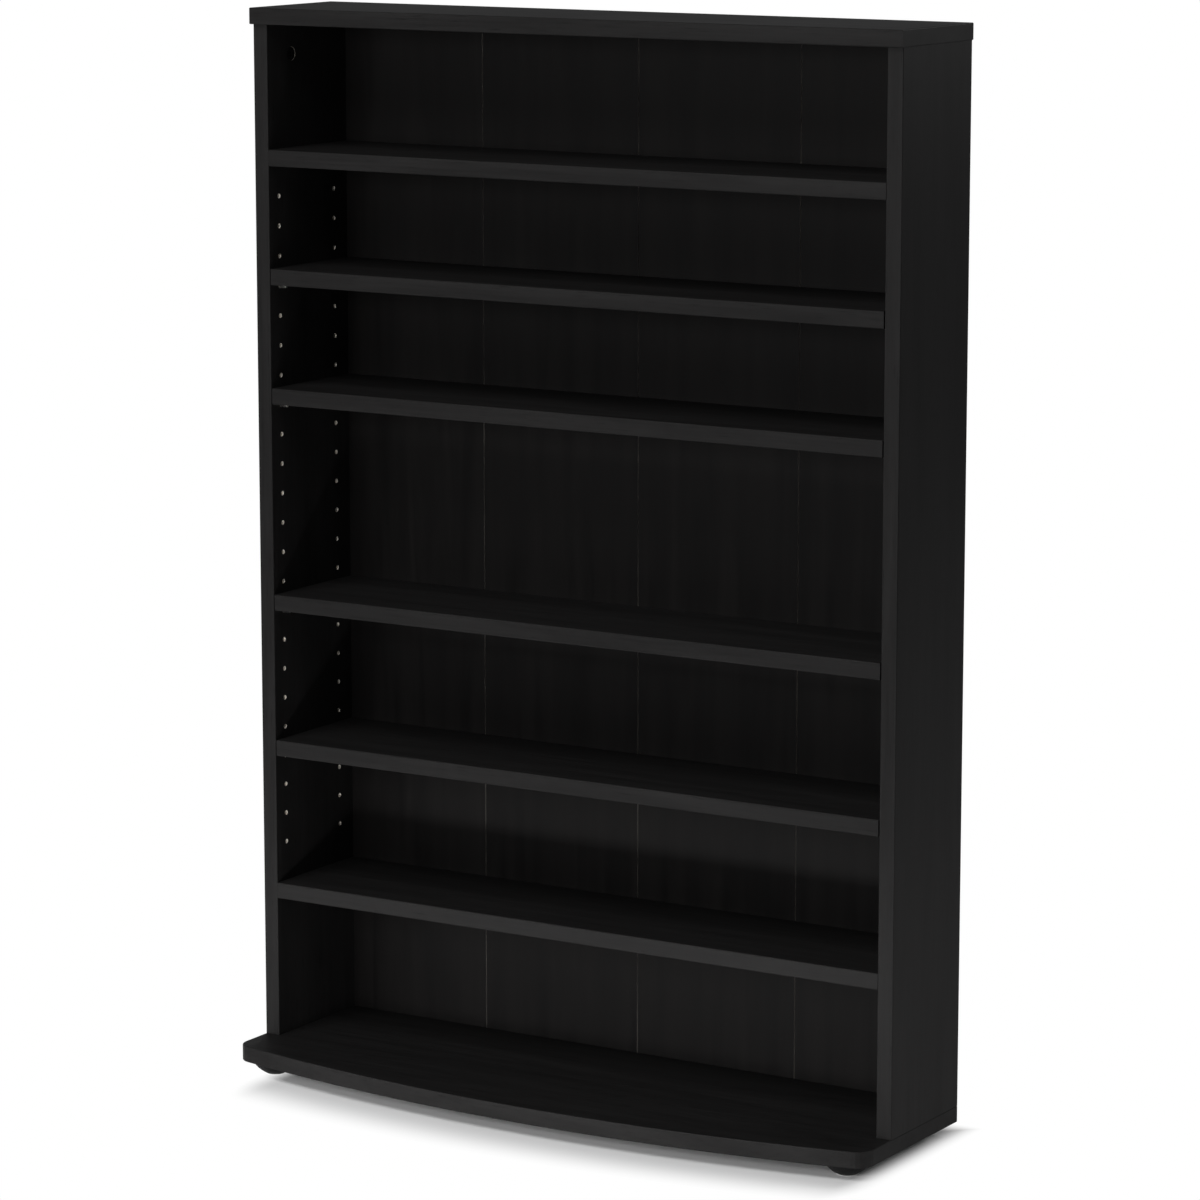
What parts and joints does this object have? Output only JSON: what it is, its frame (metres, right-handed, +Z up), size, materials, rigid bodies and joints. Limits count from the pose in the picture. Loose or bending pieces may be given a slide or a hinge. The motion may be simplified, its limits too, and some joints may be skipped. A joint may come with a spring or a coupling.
{
  "type": "cd dvd storage tower",
  "caption": "Open shelf unit for disc cases: drilled side panels with movable and fixed shelves, a folded back, a thin top and a deeper base with a bowed front on low glides.",
  "frame": {"origin": "on the floor, under the middle of the bounding box", "axes": "+Z up, +Y from the front to the back, +X to the right of someone facing the front"},
  "size_m": [0.803, 0.2534, 1.186],
  "materials": {
    "laminate": "satin black laminate with a faint grain over particle board",
    "hardboard": "black printed hardboard, brown on the rear",
    "tape": "dull dark tape",
    "glide": "black moulded plastic, pale sole",
    "nickel": "nickel-plated steel",
    "zinc": "dull zinc",
    "cam_zinc": "dark burnished zinc",
    "beech": "bare beech, fluted"
  },
  "bodies": {
    "carcass": {"top_panel": "laminate", "side_panel_left": "laminate", "side_panel_right": "laminate", "base_panel": "laminate", "fixed_shelf_upper": "laminate", "fixed_shelf_lower": "laminate", "back_leaf_1": "hardboard", "back_leaf_2": "hardboard", "back_leaf_3": "hardboard", "back_leaf_4": "hardboard", "fold_tape_1": "tape", "fold_tape_2": "tape", "fold_tape_3": "tape", "foot_front_left": "glide", "foot_front_right": "glide", "foot_rear_left": "glide", "foot_rear_right": "glide", "shelf_pin_1_front_left": "nickel", "shelf_pin_1_front_right": "nickel", "shelf_pin_1_rear_left": "nickel", "shelf_pin_1_rear_right": "nickel", "shelf_pin_2_front_left": "nickel", "shelf_pin_2_front_right": "nickel", "shelf_pin_2_rear_left": "nickel", "shelf_pin_2_rear_right": "nickel", "shelf_pin_3_front_left": "nickel", "shelf_pin_3_front_right": "nickel", "shelf_pin_3_rear_left": "nickel", "shelf_pin_3_rear_right": "nickel", "shelf_pin_4_front_left": "nickel", "shelf_pin_4_front_right": "nickel", "shelf_pin_4_rear_left": "nickel", "shelf_pin_4_rear_right": "nickel", "cam_bolt_top_left": "nickel", "cam_bolt_top_right": "nickel", "cam_bolt_upper_left": "nickel", "cam_bolt_upper_right": "nickel", "cam_bolt_lower_left": "nickel", "cam_bolt_lower_right": "nickel", "cam_lock_top_left": "cam_zinc", "cam_lock_top_right": "cam_zinc", "cam_lock_upper_left": "cam_zinc", "cam_lock_upper_right": "cam_zinc", "cam_lock_lower_left": "cam_zinc", "cam_lock_lower_right": "cam_zinc", "base_screw_front_left": "zinc", "base_screw_front_right": "zinc", "base_screw_rear_left": "zinc", "base_screw_rear_right": "zinc", "dowel_top_left": "beech", "dowel_top_right": "beech", "dowel_upper_left": "beech", "dowel_upper_right": "beech", "dowel_lower_left": "beech", "dowel_lower_right": "beech"},
    "shelf_1": {"adjustable_shelf_1": "laminate"},
    "shelf_2": {"adjustable_shelf_2": "laminate"},
    "shelf_3": {"adjustable_shelf_3": "laminate"},
    "shelf_4": {"adjustable_shelf_4": "laminate"}
  },
  "joints": [
    {"name": "shelf_1_slide", "type": "slide", "parent": "carcass", "child": "shelf_1", "axis": [0, -1, 0], "range_m": [0, 0.16]},
    {"name": "shelf_2_slide", "type": "slide", "parent": "carcass", "child": "shelf_2", "axis": [0, -1, 0], "range_m": [0, 0.16]},
    {"name": "shelf_3_slide", "type": "slide", "parent": "carcass", "child": "shelf_3", "axis": [0, -1, 0], "range_m": [0, 0.16]},
    {"name": "shelf_4_slide", "type": "slide", "parent": "carcass", "child": "shelf_4", "axis": [0, -1, 0], "range_m": [0, 0.16]}
  ]
}
